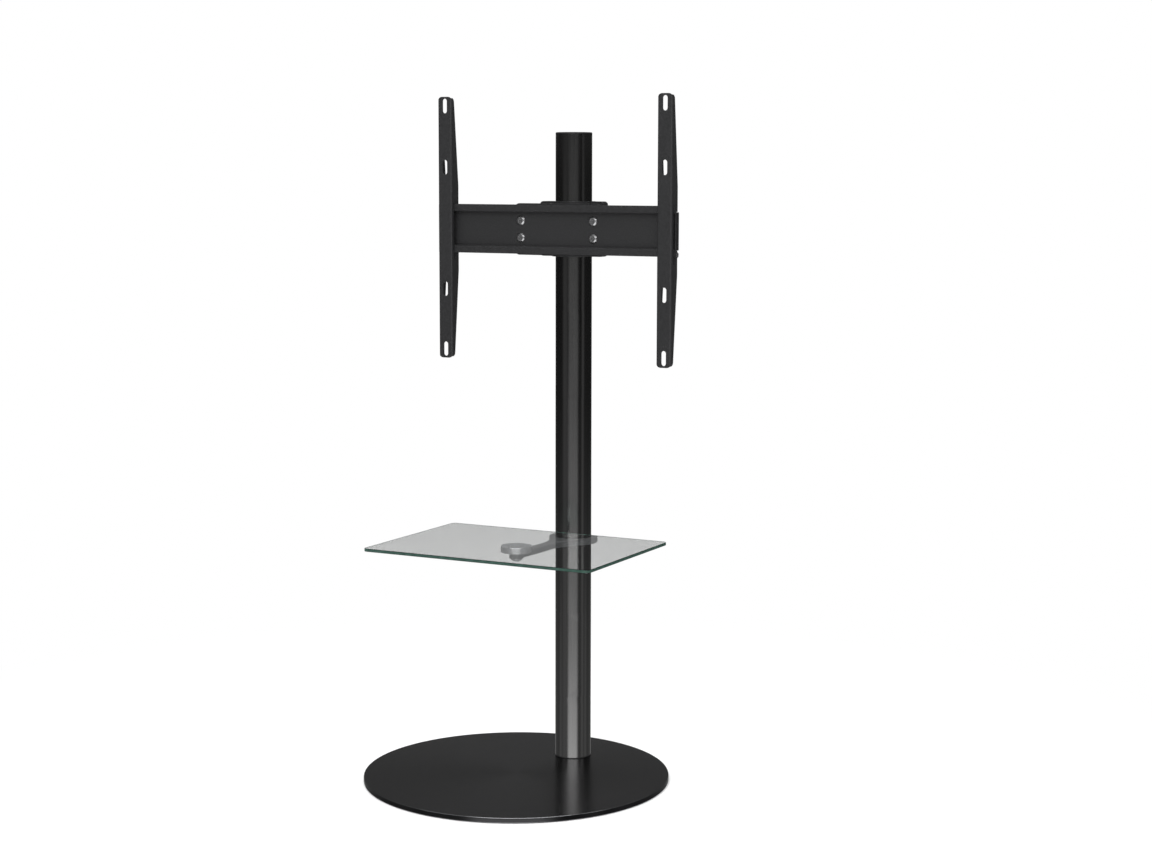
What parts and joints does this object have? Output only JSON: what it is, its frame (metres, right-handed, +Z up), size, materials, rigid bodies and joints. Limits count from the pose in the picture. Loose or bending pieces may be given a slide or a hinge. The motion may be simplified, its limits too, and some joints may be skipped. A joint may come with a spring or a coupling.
{
  "type": "tv stand with mount",
  "caption": "Floor stand on a round steel base: a swivelling column carries a glass shelf and a height-adjustable, tilting mount with hook-on rails.",
  "frame": {"origin": "centre of the base disc, on the floor", "axes": "+Z up; the shelf and the mount face -Y; +X to the right of someone who looks along +Y, from the front"},
  "size_m": [0.4998, 0.4998, 1.111],
  "materials": {
    "base_steel": "dark, brushed in circles",
    "column_steel": "dark, brushed along the tube",
    "cast_metal": "silver-grey satin on a casting",
    "polished_steel": "polished",
    "clear_glass": "clear, green at the edges",
    "mount_paint": "black powder coat",
    "zinc_plate": "bright zinc plate",
    "machined_steel": "turned",
    "black_rubber": "matte",
    "black_plastic": "moulded, satin",
    "nylon": "natural"
  },
  "bodies": {
    "base": {"base_disc": "base_steel", "foot_pad_1": "black_rubber", "foot_pad_2": "black_rubber", "foot_pad_3": "black_rubber", "foot_pad_4": "black_rubber", "foot_pad_5": "black_rubber", "foot_pad_6": "black_rubber", "foot_screw_1": "zinc_plate", "foot_screw_2": "zinc_plate", "foot_screw_3": "zinc_plate", "foot_screw_4": "zinc_plate", "foot_spigot": "machined_steel", "lower_bush": "nylon", "upper_bush": "nylon", "spigot_circlip": "zinc_plate", "thrust_washer": "black_plastic"},
    "column": {"column_tube": "column_steel", "column_cap": "black_plastic", "lower_grommet": "black_rubber", "upper_grommet": "black_rubber", "swivel_stop_screw": "zinc_plate"},
    "shelf_carrier": {"shelf_bracket": "cast_metal", "collar_set_screw_left": "zinc_plate", "collar_set_screw_right": "zinc_plate"},
    "shelf": {"shelf_pad": "polished_steel", "shelf_screw": "cast_metal", "glass_shelf": "clear_glass"},
    "head": {"front_saddle": "mount_paint", "rear_saddle": "mount_paint", "clamp_bolt_1": "zinc_plate", "clamp_bolt_2": "zinc_plate", "clamp_bolt_3": "zinc_plate", "clamp_bolt_4": "zinc_plate", "clamp_nut_1": "zinc_plate", "clamp_nut_2": "zinc_plate", "clamp_nut_3": "zinc_plate", "clamp_nut_4": "zinc_plate", "tilt_pivot_bolt": "zinc_plate", "tilt_pivot_nut": "zinc_plate"},
    "tilt": {"tilt_bracket": "mount_paint", "crossbar": "mount_paint", "crossbar_bolt_1": "zinc_plate", "crossbar_bolt_2": "zinc_plate", "crossbar_bolt_3": "zinc_plate", "crossbar_bolt_4": "zinc_plate", "crossbar_end_cap_left": "black_plastic", "crossbar_end_cap_right": "black_plastic", "tilt_lock_stud_left": "zinc_plate", "tilt_lock_stud_right": "zinc_plate"},
    "rail_left": {"rail_left": "mount_paint", "rail_lock_bolt_left": "zinc_plate", "rail_lock_nut_left": "zinc_plate"},
    "rail_right": {"rail_right": "mount_paint", "rail_lock_bolt_right": "zinc_plate", "rail_lock_nut_right": "zinc_plate"},
    "tilt_knob_left": {"tilt_knob_left": "black_plastic"},
    "tilt_knob_right": {"tilt_knob_right": "black_plastic"}
  },
  "joints": [
    {"name": "column_swivel", "type": "hinge", "parent": "base", "child": "column", "pos_m": [0.03166, 0.14048, 0.0104], "axis": [0, 0, 1], "range_deg": [-57.7, 32.3]},
    {"name": "shelf_height", "type": "slide", "parent": "column", "child": "shelf_carrier", "axis": [0, 0, 1], "range_m": [-0.15, 0.17]},
    {"name": "shelf_turn", "type": "hinge", "parent": "shelf_carrier", "child": "shelf", "pos_m": [0.03166, -0.05552, 0.384], "axis": [0, 0, 1], "range_deg": [-25, 25]},
    {"name": "head_height", "type": "slide", "parent": "column", "child": "head", "axis": [0, 0, 1], "range_m": [-0.1, 0.1]},
    {"name": "head_tilt", "type": "hinge", "parent": "head", "child": "tilt", "pos_m": [0.03166, 0.09448, 0.896], "axis": [1, 0, 0], "range_deg": [-5, 12]},
    {"name": "rail_left_slide", "type": "slide", "parent": "tilt", "child": "rail_left", "axis": [1, 0, 0], "range_m": [0, 0.1]},
    {"name": "rail_right_slide", "type": "slide", "parent": "tilt", "child": "rail_right", "axis": [1, 0, 0], "range_m": [-0.1, 0]},
    {"name": "knob_left_turn", "type": "hinge", "parent": "tilt", "child": "tilt_knob_left", "pos_m": [-0.01834, 0.10268, 0.87345], "axis": [1, 0, 0], "continuous": true},
    {"name": "knob_right_turn", "type": "hinge", "parent": "tilt", "child": "tilt_knob_right", "pos_m": [0.08166, 0.10268, 0.87345], "axis": [1, 0, 0], "continuous": true}
  ]
}
